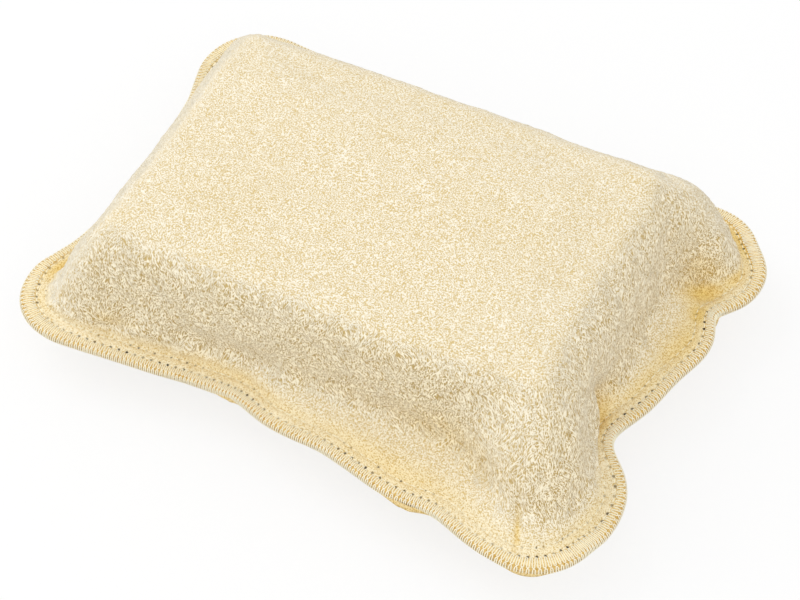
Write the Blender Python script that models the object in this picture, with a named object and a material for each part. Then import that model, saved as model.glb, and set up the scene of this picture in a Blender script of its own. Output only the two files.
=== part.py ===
"""Chamois sponge: a foam block sewn into two napped panels, with an overlocked edge.

Lengths are in metres. The origin is on the ground under the middle of the sponge, with +X along
its length, -Y towards its front and +Z up. Every loop round the sponge runs front, right, back and
left, with a rounded ear between each side and the next.
"""
import math
from collections import namedtuple

import bmesh
import bpy
from mathutils import Vector

MM = 0.001

# Overall size, over the thread at the edge
LENGTH = 160.0 * MM
WIDTH = 121.0 * MM
SEAM_HEIGHT = 13.0 * MM
EAR_RADIUS = 18.0 * MM
FRONT_LEFT_EAR_INSET = 5.3 * MM

# Sewn edge
COVER_THICKNESS = 1.1 * MM
GAP = 0.3 * MM
FLANGE_WIDTH = 4.6 * MM
THREAD_START = 0.7 * MM
THREAD_RIDGE = 0.5 * MM
THREAD_VALLEY = 0.2 * MM
THREAD_NOSE = 0.3 * MM
STITCH_PITCH = 2.1 * MM
STITCHES_PER_SPAN = 3

# Foam block, measured over the upper cover
BLOCK_LENGTH = 125.4 * MM
BLOCK_WIDTH = 84.2 * MM
BLOCK_HEIGHT = 31.0 * MM
BLOCK_CORNER = 7.0 * MM
BLOCK_SMALLEST_CORNER = 1.5 * MM
BLOCK_SHIFT = Vector((-1.5 * MM, 1.0 * MM))
BLOCK_TURN = math.radians(2.4)
SHOULDER_RADIUS = 12.5 * MM
SHOULDER_SETBACK = 0.6 * MM
CROWN_HEIGHT = 2.0 * MM
CROWN_RUN = 16.0 * MM
TOP_RUN = 2.0 * MM

# Upper cover between the seam and the block
SEAM_MARGIN = 2.0 * MM
SKIRT_RISE = 1.0 * MM
SKIRT_REACH = 0.35
FOOT_RISE = 5.0 * MM
FOOT_FLARE = 2.5 * MM
EAR_FILL_FOOT = 0.62
EAR_FILL_WALL = 0.44
EAR_FILL_SHOULDER = 0.20
EAR_BLEND_START = 0.62
# How full each ear is: front right, back right, back left and front left
EAR_FULLNESS = (1.0, 1.3, 0.85, 1.0)

# Lower cover and the foam's lower edge
HOLLOW_DROP = 4.0 * MM
HOLLOW_REACH = 0.5
BELLY_DROP = 8.5 * MM
BELLY_FLARE = 1.5 * MM
EAR_FILL_BELLY = 0.3
HEEL_HEIGHT = 1.2 * MM
HEEL_INSET = 3.5 * MM
SOLE_INSET = 8.0 * MM
FOAM_CLEARANCE = 0.4 * MM
FOAM_LOWER_RADIUS = 7.0 * MM

# A dip pulls a side in, and a lift raises its flange. Places are measured from the middle.
Bump = namedtuple("Bump", "size place reach")
DIPS = {
    "front": [Bump(7.5 * MM, -17 * MM, 30 * MM), Bump(2.4 * MM, 22 * MM, 12 * MM),
              Bump(2.8 * MM, 42 * MM, 9 * MM)],
    "right": [Bump(10.0 * MM, -17 * MM, 12 * MM), Bump(4.6 * MM, 3 * MM, 13 * MM),
              Bump(4.6 * MM, 27 * MM, 7.5 * MM)],
    "back": [Bump(6.0 * MM, 4 * MM, 30 * MM)],
    "left": [Bump(8.0 * MM, -1 * MM, 31 * MM)],
}
LIFTS = {
    "front": [Bump(-1.2 * MM, -28 * MM, 22 * MM), Bump(0.8 * MM, 8 * MM, 14 * MM)],
    "right": [Bump(1.6 * MM, 10 * MM, 18 * MM)],
    "back": [Bump(-0.8 * MM, -14 * MM, 24 * MM), Bump(1.0 * MM, 30 * MM, 14 * MM)],
    "left": [Bump(1.0 * MM, 4 * MM, 20 * MM)],
}
SIDES = ("front", "right", "back", "left")
BUMP_FADE_POWER = 8
LIFT_FADE = 0.5

# Fineness of the curves
SHOULDER_STEPS = (30, 60)
FOAM_EDGE_STEPS = (90, 60, 30, 0)
FOAM_EAR_COUNT = 3
LEAST_SIDE_COUNT = 4
LEAST_EAR_COUNT = 3
SHARP_ANGLE = math.radians(50)

# Sizes that follow from those above
HALF_STACK = COVER_THICKNESS + GAP / 2
EDGE_BUILD = GAP + THREAD_RIDGE + THREAD_NOSE
NEEDLE_RADIUS = EAR_RADIUS - FLANGE_WIDTH - EDGE_BUILD
EAR_X = LENGTH / 2 - EAR_RADIUS
EAR_Y = WIDTH / 2 - EAR_RADIUS
EARS = (
    Vector((EAR_X, -EAR_Y)),
    Vector((EAR_X, EAR_Y)),
    Vector((-EAR_X, EAR_Y)),
    Vector((-EAR_X, -EAR_Y + FRONT_LEFT_EAR_INSET)),
)
BLOCK_TOP = SEAM_HEIGHT + BLOCK_HEIGHT
SHOULDER_HEIGHT = BLOCK_TOP - SHOULDER_RADIUS
FOAM_INSET = COVER_THICKNESS + FOAM_CLEARANCE
SPAN = STITCH_PITCH * STITCHES_PER_SPAN

Station = namedtuple("Station", "side in_ear along")


def smooth(t):
    """Ease from 0 to 1."""
    t = min(max(t, 0.0), 1.0)
    return t * t * (3 - 2 * t)


def outward(quarter_turns):
    """Unit vector out of the front, turned by a number of quarter turns."""
    angle = (quarter_turns - 1) * math.pi / 2
    return Vector((math.cos(angle), math.sin(angle)))


def stations(long_count, short_count, ear_count):
    """Places round a loop. Along runs from 0 to 1 over each side and over each ear."""
    places = []
    for side in range(4):
        count = short_count if side % 2 else long_count
        places += [Station(side, False, k / count) for k in range(count)]
        places += [Station(side, True, k / ear_count) for k in range(ear_count)]
    return places


def loop_point(place, centres, radius):
    """A point of a rounded quadrilateral with these corner centres."""
    side = place.side
    if place.in_ear:
        return centres[side] + radius * outward(side + place.along)
    out = outward(side)
    run = outward(side + 1)
    start = centres[side - 1]
    end = centres[side]
    level = start.dot(out) + (end - start).dot(out) * smooth(place.along)
    travel = start.dot(run) + (end - start).dot(run) * place.along
    return run * travel + out * (level + radius)


def bump_sum(place, point, table):
    """The bumps of a side at this point, fading to nothing where the ears start."""
    if place.in_ear:
        return 0.0
    spot = point.y if place.side % 2 else point.x
    fade = 1 - abs(2 * place.along - 1) ** BUMP_FADE_POWER
    total = sum(b.size * math.exp(-((spot - b.place) / b.reach) ** 2)
                for b in table[SIDES[place.side]])
    return fade * total


def needle_line(places):
    """The sewn line: its points, outward normals and heights over the seam plane.

    A dip stops where the foam block fills the cover.
    """
    points = []
    lifts = []
    for place, block in zip(places, block_loop(places, 0.0)):
        point = loop_point(place, EARS, NEEDLE_RADIUS)
        lifts.append(bump_sum(place, point, LIFTS))
        if not place.in_ear:
            out = outward(place.side)
            room = (point - block).dot(out) - SEAM_MARGIN
            point -= out * min(bump_sum(place, point, DIPS), room)
        points.append(point)
    return points, loop_normals(points), lifts


def loop_normals(points):
    """Outward normals of a loop that runs anticlockwise."""
    count = len(points)
    normals = []
    for j in range(count):
        run = (points[(j + 1) % count] - points[j - 1]).normalized()
        normals.append(Vector((run.y, -run.x)))
    return normals


def block_loop(places, inset):
    """A level section of the block, this far inside its widest outline."""
    radius = max(BLOCK_CORNER - inset / 2, BLOCK_SMALLEST_CORNER)
    x = BLOCK_LENGTH / 2 - inset - radius
    y = BLOCK_WIDTH / 2 - inset - radius
    centres = [Vector(c) for c in ((x, -y), (x, y), (-x, y), (-x, -y))]
    turn = complex(math.cos(BLOCK_TURN), math.sin(BLOCK_TURN))
    points = []
    for place in places:
        flat = loop_point(place, centres, radius)
        turned = complex(flat.x, flat.y) * turn
        points.append(Vector((turned.real, turned.imag)) + BLOCK_SHIFT)
    return points


def ear_weight(place):
    """The nearest ear's fullness in that ear, easing to 0 along the sides."""
    if place.in_ear:
        return EAR_FULLNESS[place.side]
    nearest = place.side if place.along > 0.5 else place.side - 1
    reach = (abs(2 * place.along - 1) - EAR_BLEND_START) / (1 - EAR_BLEND_START)
    return EAR_FULLNESS[nearest] * smooth(reach)


def toward(places, start, end, fill):
    """Points of one loop drawn towards another in the ears only."""
    return [a.lerp(b, fill * ear_weight(p)) for p, a, b in zip(places, start, end)]


def offset(points, normals, distance):
    return [p + n * distance for p, n in zip(points, normals)]


def flare_out(block, needle, flare):
    """The block's outline spread outwards, but always a little inside the sewn line."""
    points = []
    for b, n, normal in zip(block, needle, loop_normals(block)):
        room = (n - b).dot(normal) - SEAM_MARGIN
        points.append(b + normal * min(flare, room))
    return points


def ring(points, heights):
    """Lift a flat loop to one height, or to a list of heights."""
    if isinstance(heights, float):
        heights = [heights] * len(points)
    return [Vector((p.x, p.y, z)) for p, z in zip(points, heights)]


def material(name, color, roughness):
    made = bpy.data.materials.new(name)
    made.use_nodes = True
    shader = made.node_tree.nodes["Principled BSDF"]
    shader.inputs["Base Color"].default_value = (*color, 1.0)
    shader.inputs["Roughness"].default_value = roughness
    shader.inputs["Metallic"].default_value = 0.0
    made.diffuse_color = (*color, 1.0)
    return made


def bridge(bm, lower, upper):
    """Quads between two closed rings of vertices."""
    count = len(lower)
    for j in range(count):
        k = (j + 1) % count
        bm.faces.new((lower[j], lower[k], upper[k], upper[j]))


def finish_object(name, bm, finish):
    """Turn a bmesh into a smooth-shaded object."""
    mesh = bpy.data.meshes.new(name)
    bm.to_mesh(mesh)
    bm.free()
    mesh.shade_smooth()
    mesh.set_sharp_from_angle(angle=SHARP_ANGLE)
    mesh.materials.append(finish)
    made = bpy.data.objects.new(name, mesh)
    bpy.context.scene.collection.objects.link(made)
    return made


def lofted(name, rings, finish, close_start=False, runs_down=False):
    """A skin over the rings, closed at the last one, and at the first one if asked."""
    bm = bmesh.new()
    verts = [[bm.verts.new(p) for p in row] for row in rings]
    for lower, upper in zip(verts, verts[1:]):
        bridge(bm, lower, upper)
    bm.faces.new(verts[-1])
    if close_start:
        bm.faces.new(verts[0][::-1])
    if runs_down:
        bmesh.ops.reverse_faces(bm, faces=bm.faces)
    return finish_object(name, bm, finish)


def thicken(panel):
    """Give a panel its thickness, on the side away from the surface that shows."""
    solid = panel.modifiers.new("thickness", "SOLIDIFY")
    solid.thickness = COVER_THICKNESS
    solid.offset = -1.0


def shoulder_rings(places, shrink):
    """The rounded upper edge and crown of the block, this far under the cover's surface."""
    radius = SHOULDER_RADIUS - shrink
    base = SHOULDER_SETBACK + shrink
    rows = []
    for degrees in SHOULDER_STEPS:
        angle = math.radians(degrees)
        inset = base + radius * (1 - math.cos(angle))
        rows.append(ring(block_loop(places, inset), SHOULDER_HEIGHT + radius * math.sin(angle)))
    rows.append(ring(block_loop(places, SHOULDER_RADIUS + TOP_RUN), BLOCK_TOP - shrink))
    crown = block_loop(places, SHOULDER_RADIUS + CROWN_RUN)
    rows.append(ring(crown, BLOCK_TOP + CROWN_HEIGHT - shrink))
    return rows


def make_upper_cover(places, finish):
    needle, normals, lifts = needle_line(places)
    flange = SEAM_HEIGHT + HALF_STACK
    edge = offset(needle, normals, FLANGE_WIDTH)
    block = block_loop(places, 0.0)
    foot = toward(places, flare_out(block, needle, FOOT_FLARE), needle, EAR_FILL_FOOT)
    skirt = [n.lerp(f, SKIRT_REACH) for n, f in zip(needle, foot)]
    wall = toward(places, block, needle, EAR_FILL_WALL)
    shoulder = toward(places, block_loop(places, SHOULDER_SETBACK), needle, EAR_FILL_SHOULDER)
    wall_height = (SEAM_HEIGHT + FOOT_RISE + SHOULDER_HEIGHT) / 2
    rows = [
        ring(edge, [flange + z for z in lifts]),
        ring(needle, [flange + z for z in lifts]),
        ring(skirt, [flange + SKIRT_RISE + z * LIFT_FADE for z in lifts]),
        ring(foot, SEAM_HEIGHT + FOOT_RISE),
        ring(wall, wall_height),
        ring(shoulder, SHOULDER_HEIGHT),
        *shoulder_rings(places, 0.0),
    ]
    thicken(lofted("upper_cover", rows, finish))


def make_lower_cover(places, finish):
    needle, normals, lifts = needle_line(places)
    flange = SEAM_HEIGHT - HALF_STACK
    edge = offset(needle, normals, FLANGE_WIDTH)
    block = block_loop(places, 0.0)
    belly = toward(places, flare_out(block, needle, BELLY_FLARE), needle, EAR_FILL_BELLY)
    hollow = [n.lerp(b, HOLLOW_REACH) for n, b in zip(needle, belly)]
    rows = [
        ring(edge, [flange + z for z in lifts]),
        ring(needle, [flange + z for z in lifts]),
        ring(hollow, [SEAM_HEIGHT - HOLLOW_DROP + z * LIFT_FADE for z in lifts]),
        ring(belly, SEAM_HEIGHT - BELLY_DROP),
        ring(block_loop(places, HEEL_INSET), HEEL_HEIGHT),
        ring(block_loop(places, SOLE_INSET), 0.0),
    ]
    thicken(lofted("lower_cover", rows, finish, runs_down=True))


def make_foam_core(finish):
    """The block: square to its own axes, with rounded edges all round."""
    places = stations(1, 1, FOAM_EAR_COUNT)
    floor = COVER_THICKNESS + GAP
    radius = FOAM_LOWER_RADIUS
    side = SHOULDER_SETBACK + FOAM_INSET
    rows = []
    for degrees in FOAM_EDGE_STEPS:
        angle = math.radians(degrees)
        inset = side + radius * (1 - math.cos(angle))
        rows.append(ring(block_loop(places, inset), floor + radius * (1 - math.sin(angle))))
    rows.append(ring(block_loop(places, side), SHOULDER_HEIGHT))
    rows += shoulder_rings(places, FOAM_INSET)
    lofted("foam_core", rows, finish, close_start=True)


def thread_section(thickness):
    """Outer side of the thread wrap: distance out of the needle line, height over the seam."""
    top = HALF_STACK + GAP + thickness
    inner_edge = FLANGE_WIDTH + GAP
    nose = inner_edge + thickness + THREAD_NOSE
    corner = inner_edge + thickness / 2
    return [(THREAD_START, top), (corner, top), (nose, 0.0), (corner, -top), (THREAD_START, -top)]


def make_overlock_stitching(places, finish):
    """The thread chain: a wrap round the edge of both panels, with one ridge for each stitch."""
    needle, normals, lifts = needle_line(places)
    count = len(places)
    steps = 2 * STITCHES_PER_SPAN
    level = HALF_STACK + GAP
    inner_edge = FLANGE_WIDTH + GAP
    inner_section = [(THREAD_START, level), (inner_edge, level),
                     (inner_edge, -level), (THREAD_START, -level)]

    def section_points(point, normal, lift, section):
        return [Vector((point.x + normal.x * out, point.y + normal.y * out,
                        SEAM_HEIGHT + lift + up)) for out, up in section]

    bm = bmesh.new()
    inner = []
    outer = []
    for j in range(count):
        k = (j + 1) % count
        points = section_points(needle[j], normals[j], lifts[j], inner_section)
        inner.append([bm.verts.new(p) for p in points])
        for step in range(steps):
            thickness = THREAD_VALLEY if step % 2 else THREAD_RIDGE
            section = thread_section(thickness)
            here = section_points(needle[j], normals[j], lifts[j], section)
            ahead = section_points(needle[k], normals[k], lifts[k], section)
            outer.append([bm.verts.new(a.lerp(b, step / steps)) for a, b in zip(here, ahead)])
    for column in range(len(inner_section) - 1):
        bridge(bm, [v[column] for v in inner], [v[column + 1] for v in inner])
    for column in range(len(outer[0]) - 1):
        bridge(bm, [v[column] for v in outer], [v[column + 1] for v in outer])
    for j in range(count):
        k = (j + 1) % count
        span = [outer[(j * steps + s) % len(outer)] for s in range(steps + 1)]
        for end in (0, -1):
            bm.faces.new([inner[j][end], *(v[end] for v in span), inner[k][end]])
    bmesh.ops.recalc_face_normals(bm, faces=bm.faces)
    finish_object("overlock_stitching", bm, finish)


def main():
    for old in list(bpy.data.objects):
        bpy.data.objects.remove(old)
    cream = material("chamois_upper", (0.83, 0.72, 0.52), 0.95)
    cream_under = material("chamois_lower", (0.80, 0.69, 0.49), 0.95)
    thread = material("overlock_thread", (0.76, 0.63, 0.38), 0.8)
    foam = material("foam", (0.86, 0.80, 0.56), 0.9)
    long_count = max(round(2 * EAR_X / SPAN), LEAST_SIDE_COUNT)
    short_count = max(round(2 * EAR_Y / SPAN), LEAST_SIDE_COUNT)
    ear_count = max(round(EAR_RADIUS * math.pi / 2 / SPAN), LEAST_EAR_COUNT)
    places = stations(long_count, short_count, ear_count)
    make_foam_core(foam)
    make_upper_cover(places, cream)
    make_lower_cover(places, cream_under)
    make_overlock_stitching(places, thread)


main()
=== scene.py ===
"""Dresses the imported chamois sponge: napped panels, overlock threads, materials, light and camera.

Shapes are worked out in millimetres in the part's own frame and made in metres: +X runs along the
length, -Y towards the front and +Z up. Places round the sponge are counted in stitches, along the
front, right, back and left sides, with an ear after each. The skins repeat the part source's loops,
and a finer relief of folds, needle pits and nap is added to them.
"""
import math

import bpy
import numpy as np
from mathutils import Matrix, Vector


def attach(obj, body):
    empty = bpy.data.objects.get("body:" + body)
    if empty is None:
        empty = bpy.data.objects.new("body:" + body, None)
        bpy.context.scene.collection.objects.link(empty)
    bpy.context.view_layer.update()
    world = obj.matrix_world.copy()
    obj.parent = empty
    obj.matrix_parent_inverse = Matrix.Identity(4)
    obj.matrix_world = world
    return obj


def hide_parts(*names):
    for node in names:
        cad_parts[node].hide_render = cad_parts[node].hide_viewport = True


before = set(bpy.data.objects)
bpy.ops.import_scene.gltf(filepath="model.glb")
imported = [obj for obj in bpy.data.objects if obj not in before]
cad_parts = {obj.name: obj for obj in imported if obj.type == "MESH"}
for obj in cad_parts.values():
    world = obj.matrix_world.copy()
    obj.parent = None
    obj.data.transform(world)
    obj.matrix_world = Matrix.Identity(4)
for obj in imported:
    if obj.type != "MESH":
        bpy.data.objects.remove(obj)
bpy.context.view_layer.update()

MM = 0.001

# Overall size, as in the part's source
LENGTH = 160.0
WIDTH = 121.0
SEAM_HEIGHT = 13.0
EAR_RADIUS = 18.0
FRONT_LEFT_EAR_INSET = 5.3

# Sewn edge
COVER_THICKNESS = 1.1
GAP = 0.3
FLANGE_WIDTH = 4.6
EDGE_BUILD = 1.1
STITCHES_PER_SPAN = 3
# Spans of the front side and its ear, the right side and its ear, the back and the left
SPAN_COUNTS = np.array((20, 4, 13, 4, 20, 4, 13, 4))

# Foam block, measured over the upper cover
BLOCK_LENGTH = 125.4
BLOCK_WIDTH = 84.2
BLOCK_HEIGHT = 31.0
BLOCK_CORNER = 7.0
BLOCK_SMALLEST_CORNER = 1.5
BLOCK_SHIFT = (-1.5, 1.0)
BLOCK_TURN = math.radians(2.4)
SHOULDER_RADIUS = 12.5
SHOULDER_SETBACK = 0.6
CROWN_HEIGHT = 2.0
CROWN_RUN = 16.0
TOP_RUN = 2.0
RIDGE_INSET = 41.2

# Upper cover between the seam and the block
SEAM_MARGIN = 2.0
SKIRT_RISE = 1.0
SKIRT_REACH = 0.35
FOOT_RISE = 5.0
FOOT_FLARE = 2.5
EAR_FILL_FOOT = 0.62
EAR_FILL_WALL = 0.44
EAR_FILL_SHOULDER = 0.20
EAR_BLEND_START = 0.62
EAR_FULLNESS = np.array((1.0, 1.3, 0.85, 1.0))

# Lower cover
HOLLOW_DROP = 4.0
HOLLOW_REACH = 0.5
BELLY_DROP = 8.5
BELLY_FLARE = 1.5
EAR_FILL_BELLY = 0.3
HEEL_HEIGHT = 1.2
HEEL_INSET = 3.5
SOLE_INSET = 8.0

# Size, place along the side and reach of each dip and lift, for front, right, back and left
DIPS = (
    ((7.5, -17, 30), (2.4, 22, 12), (2.8, 42, 9)),
    ((10.0, -17, 12), (4.6, 3, 13), (4.6, 27, 7.5)),
    ((6.0, 4, 30),),
    ((8.0, -1, 31),),
)
LIFTS = (
    ((-1.2, -28, 22), (0.8, 8, 14)),
    ((1.6, 10, 18),),
    ((-0.8, -14, 24), (1.0, 30, 14)),
    ((1.0, 4, 20),),
)
BUMP_FADE_POWER = 8
LIFT_FADE = 0.5

# Sizes that follow
HALF_STACK = COVER_THICKNESS + GAP / 2
NEEDLE_RADIUS = EAR_RADIUS - FLANGE_WIDTH - EDGE_BUILD
EAR_X = LENGTH / 2 - EAR_RADIUS
EAR_Y = WIDTH / 2 - EAR_RADIUS
EARS = np.array((
    (EAR_X, -EAR_Y),
    (EAR_X, EAR_Y),
    (-EAR_X, EAR_Y),
    (-EAR_X, -EAR_Y + FRONT_LEFT_EAR_INSET),
))
BLOCK_TOP = SEAM_HEIGHT + BLOCK_HEIGHT
SHOULDER_HEIGHT = BLOCK_TOP - SHOULDER_RADIUS
SPAN_STARTS = np.concatenate([[0], np.cumsum(SPAN_COUNTS)])
STITCH_COUNT = int(SPAN_COUNTS.sum()) * STITCHES_PER_SPAN

# Fineness of the skins: columns to a stitch, then bands of rows, each with the distance in from
# the rim that it reaches, the step from row to row, and how many columns share one vertex
COLUMNS_PER_STITCH = 4
PAST_MIDDLE = 1000.0
UPPER_BANDS = ((7.0, 0.42, 1), (34.0, 0.6, 1), (48.0, 0.65, 2), (60.0, 0.8, 2), (PAST_MIDDLE, 0.8, 4))
LOWER_BANDS = ((7.0, 0.5, 1), (24.0, 0.8, 1), (40.0, 1.2, 2), (PAST_MIDDLE, 1.4, 4))
LINING_STEP = 4.0
FOAM_START = 8.0
SKIN_SMOOTHING = 2.0
RIM_SMOOTHING = 7.0

# Rolled rim of each panel, and the threads that wrap it
RIM_RADIUS = 1.1
RIM_START = 4.2
WRAP_RADIUS = 1.34
LOOPS_PER_STITCH = 2
LOOPER_HALF_WIDTH = 0.15
LOOPER_HALF_HEIGHT = 0.10
LOOPER_STANDS = -0.02
LOOPER_TUCK = 0.10
LOOPER_SHORT_OF_HOLES = 0.45
LOOPERS_MEET = 0.55
LOOPERS_APART = 0.15

# Rows of needle holes: how far in from the sewn line the outer row lies along the sides and in the
# ears, so outwards where negative, and how far apart the two rows and the stitches are
SIDE_HOLES = -2.7
EAR_HOLES = -1.3
HOLE_SMOOTHING = 10
ROWS_APART = 2.2
STITCH_PITCH = 2.1

# Relief of each row of holes: its distance in from the outer row, the depth and reach of its groove,
# and the depth and reach of the pit at each hole
HOLE_ROWS = ((0.0, 0.16, 0.8, 0.45, 0.45), (ROWS_APART, 0.14, 0.8, 0.35, 0.4))
CROOK_DEPTH = 0.25
CROOK_PLACE = 0.6
CROOK_REACH = 1.2

# Heights of the random relief: gathers at the seam, folds in the ears, uneven stuffing and nap
GATHER_HEIGHT = 0.14
EAR_FOLD_HEIGHT = 0.09
BROAD_HEIGHT = 0.16
MEDIUM_HEIGHT = 0.07
NAP_HEIGHT = 0.030
NAP_HEIGHT_ADDED_ON_WALLS = 0.025
TUFT_HEIGHT = 0.025

# One loop of a looper thread: shares of its length at its corners, how far along the seam and how
# far across the wrap, from -1 to 1, it is there, and the length and rounding of its turns
LOOP_SHARES = (0, 0.36, 0.5, 0.86, 1)
LOOP_ALONG = (0, 0.08, 0.5, 0.58, 1)
LOOP_ACROSS = (-0.9, 0.9, 0.9, -0.9, -0.9)
LOOP_TURN = 0.14
LOOP_ROUNDING = 0.1

# Needle thread between its holes
NEEDLE_HALF_WIDTH = 0.16
NEEDLE_HALF_HEIGHT = 0.13
NEEDLE_ARCH = 0.30
NEEDLE_SINK = 0.34
NEEDLE_SAMPLES = 8

# Where hand sewing let the seam wander: stitch, reach in stitches and distance outwards
SEAM_SHIFTS = (
    (13, 5, 0.6), (28, 4, 1.6), (35, 2.5, -0.5), (42, 4, 0.6), (58, 3, 0.6), (62, 3, 1.3),
    (69.5, 2.5, -0.9), (77, 4, 0.5), (81, 2.5, -1.3), (97, 5, 0.4), (106.5, 2, -0.6), (110, 4, 1.3),
    (116, 3, -1.0), (189, 5, 1.6), (201, 2.5, -0.6), (229, 3, -0.7), (234, 3, -0.4), (240, 4, 1.0),
)
# Where the cut edge of the lower panel sticks out: stitch, reach in stitches and distance
FRAYS = (
    (22.0, 1.6, 0.9), (47.0, 2.2, 1.5), (62.0, 1.5, 0.9), (103.5, 1.2, 0.9), (147.0, 2.0, 0.8),
    (214.0, 1.8, 0.8),
)
FRAY_UNEVENNESS = 0.35
# Where the stuffing bulges or sinks: stitch, reach in stitches, distance in from the seam, reach
# that way and height
SWELLS = (
    (32, 24, 32, 5.5, 1.7),
    (32, 26, 9, 4.5, -1.5),
    (50, 9, 10, 5.5, 0.9),
    (87, 12, 31, 6.5, -1.1),
    (64, 6, 16, 8.0, 0.7),
    (120, 5, 19, 8.0, 1.5),
    (119, 5, 31, 6.0, -0.9),
    (182, 6, 37, 6.0, -0.7),
    (113, 5, 8, 7.0, 0.3),
    (192, 6, 36, 8.0, -1.0),
    (140, 12, 37, 7.0, -0.8),
)
# Valleys that run in from the seam: stitch, slant in stitches per millimetre, half width in stitches,
# depth and length
VALLEYS = (
    (105.8, 0.20, 1.8, 1.5, 22),
    (84.6, -0.15, 1.7, 1.3, 24),
    (60.2, 0.0, 0.6, 0.5, 15),
    (235.5, 0.10, 1.2, 0.7, 14),
    (2.0, 0.25, 1.0, 0.35, 12),
    (96.0, 0.05, 1.4, 0.35, 10),
    (44.0, -0.10, 1.3, 0.4, 9),
)
# Where the needle holes gape: stitch, reach in stitches and share
GAPING = (
    (11, 8, 1.0), (23, 4, 0.6), (43, 6, 1.0), (65, 5, 0.8), (75, 4, 0.6), (88, 4, 0.8), (101, 4, 0.7),
    (116, 4, 0.8), (141, 8, 0.7), (168, 10, 0.8), (203, 9, 0.7), (220, 8, 0.6), (238, 4, 0.5),
)
# Painted shade and bounced light in folds, which deepen the yellow, and one golden stain on the left ear
# at stitch 3.5:
# stitch, reach in stitches, distance in, reach and strength
FOLD_SHADE_AND_STAIN_SPOTS = (
    (106.2, 2.4, 2.0, 4.0, 1.0), (108.0, 1.4, 8.0, 5.0, 0.4), (103.0, 2.5, -1.0, 3.0, 1.0),
    (110.5, 3.5, 1.5, 3.0, 0.8), (98.0, 5.0, 0.0, 3.5, 0.7), (60.2, 0.45, 3.5, 4.5, 0.8),
    (50.0, 8.0, 11.0, 6.0, 0.3),
    (117.0, 5.0, -2.0, 3.0, 1.0), (3.5, 2.5, 7.5, 2.0, 0.35),
    (84.0, 3.0, 1.0, 5.0, 0.9), (233.0, 3.0, -0.4, 2.2, 0.9), (119.0, 4.5, -0.6, 2.2, 0.9),
    (20.0, 14.0, 0.5, 3.0, 0.35), (43.0, 9.0, 0.5, 3.5, 0.45),
    (70.0, 7.0, -0.5, 3.0, 0.3), (91.0, 5.0, 0.0, 3.0, 0.5), (240.0, 4.0, 0.0, 2.5, 0.3),
)


def smooth(t):
    """Ease from 0 to 1."""
    t = np.clip(t, 0.0, 1.0)
    return t * t * (3 - 2 * t)


def dot(a, b):
    return (a * b).sum(axis=-1)


def outward(quarter_turns):
    """Unit vectors out of the front, turned by numbers of quarter turns."""
    angle = (np.asarray(quarter_turns) - 1) * (math.pi / 2)
    return np.stack([np.cos(angle), np.sin(angle)], axis=-1)


def near_stitch(stitches, at, reach):
    """1 at one stitch of the loop, fading over the reach to either side."""
    apart = (stitches - at + STITCH_COUNT / 2) % STITCH_COUNT - STITCH_COUNT / 2
    return np.exp(-((apart / reach) ** 2))


class Places:
    """Places round a loop: the side, whether in the ear after it, and the share of the way along."""

    def __init__(self, stitches):
        self.stitches = np.asarray(stitches, float)
        spans = (self.stitches / STITCHES_PER_SPAN) % SPAN_STARTS[-1]
        run = np.searchsorted(SPAN_STARTS, spans, side="right") - 1
        self.side = run // 2
        self.in_ear = run % 2 == 1
        self.along = (spans - SPAN_STARTS[run]) / SPAN_COUNTS[run]


def loop_points(places, centres, radius):
    """Points of a rounded quadrilateral with these corner centres."""
    out = outward(places.side)
    run = outward(places.side + 1)
    start = centres[places.side - 1]
    end = centres[places.side]
    level = dot(start, out) + dot(end - start, out) * smooth(places.along)
    travel = dot(start, run) + dot(end - start, run) * places.along
    straight = run * travel[:, None] + out * (level + radius)[:, None]
    bent = end + radius * outward(places.side + places.along)
    return np.where(places.in_ear[:, None], bent, straight)


def bump_sum(places, points, table):
    """The bumps of each side at these points, fading to nothing where the ears start."""
    spot = np.where(places.side % 2 == 1, points[:, 1], points[:, 0])
    total = np.zeros(len(points))
    for side, bumps in enumerate(table):
        here = places.side == side
        for size, place, reach in bumps:
            total[here] += size * np.exp(-(((spot[here] - place) / reach) ** 2))
    fade = 1 - np.abs(2 * places.along - 1) ** BUMP_FADE_POWER
    return np.where(places.in_ear, 0.0, fade * total)


def unit_rows(vectors):
    return vectors / np.linalg.norm(vectors, axis=1)[:, None]


def loop_runs(points):
    """Directions along a closed loop."""
    return unit_rows(np.roll(points, -1, axis=0) - np.roll(points, 1, axis=0))


def loop_normals(points):
    """Outward normals of a loop that runs anticlockwise."""
    run = loop_runs(points)
    return np.stack([run[:, 1], -run[:, 0]], axis=1)


def block_loop(places, inset):
    """A level section of the block, this far inside its widest outline."""
    radius = max(BLOCK_CORNER - inset / 2, BLOCK_SMALLEST_CORNER)
    radius = min(radius, BLOCK_WIDTH / 2 - inset)
    x = BLOCK_LENGTH / 2 - inset - radius
    y = BLOCK_WIDTH / 2 - inset - radius
    flat = loop_points(places, np.array(((x, -y), (x, y), (-x, y), (-x, -y))), radius)
    cos = math.cos(BLOCK_TURN)
    sin = math.sin(BLOCK_TURN)
    turned = np.stack([flat[:, 0] * cos - flat[:, 1] * sin, flat[:, 0] * sin + flat[:, 1] * cos], axis=1)
    return turned + BLOCK_SHIFT


def needle_line(places):
    """The sewn line: points, outward normals and heights over the seam plane."""
    points = loop_points(places, EARS, NEEDLE_RADIUS)
    lifts = bump_sum(places, points, LIFTS)
    out = outward(places.side)
    room = dot(points - block_loop(places, 0.0), out) - SEAM_MARGIN
    dips = np.minimum(bump_sum(places, points, DIPS), room)
    points = points - out * np.where(places.in_ear, 0.0, dips)[:, None]
    shifts = sum(size * near_stitch(places.stitches, at, reach) for at, reach, size in SEAM_SHIFTS)
    points = points + loop_normals(points) * shifts[:, None]
    return points, unit_rows(round_loop(loop_normals(points), RIM_SMOOTHING)), lifts


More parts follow.
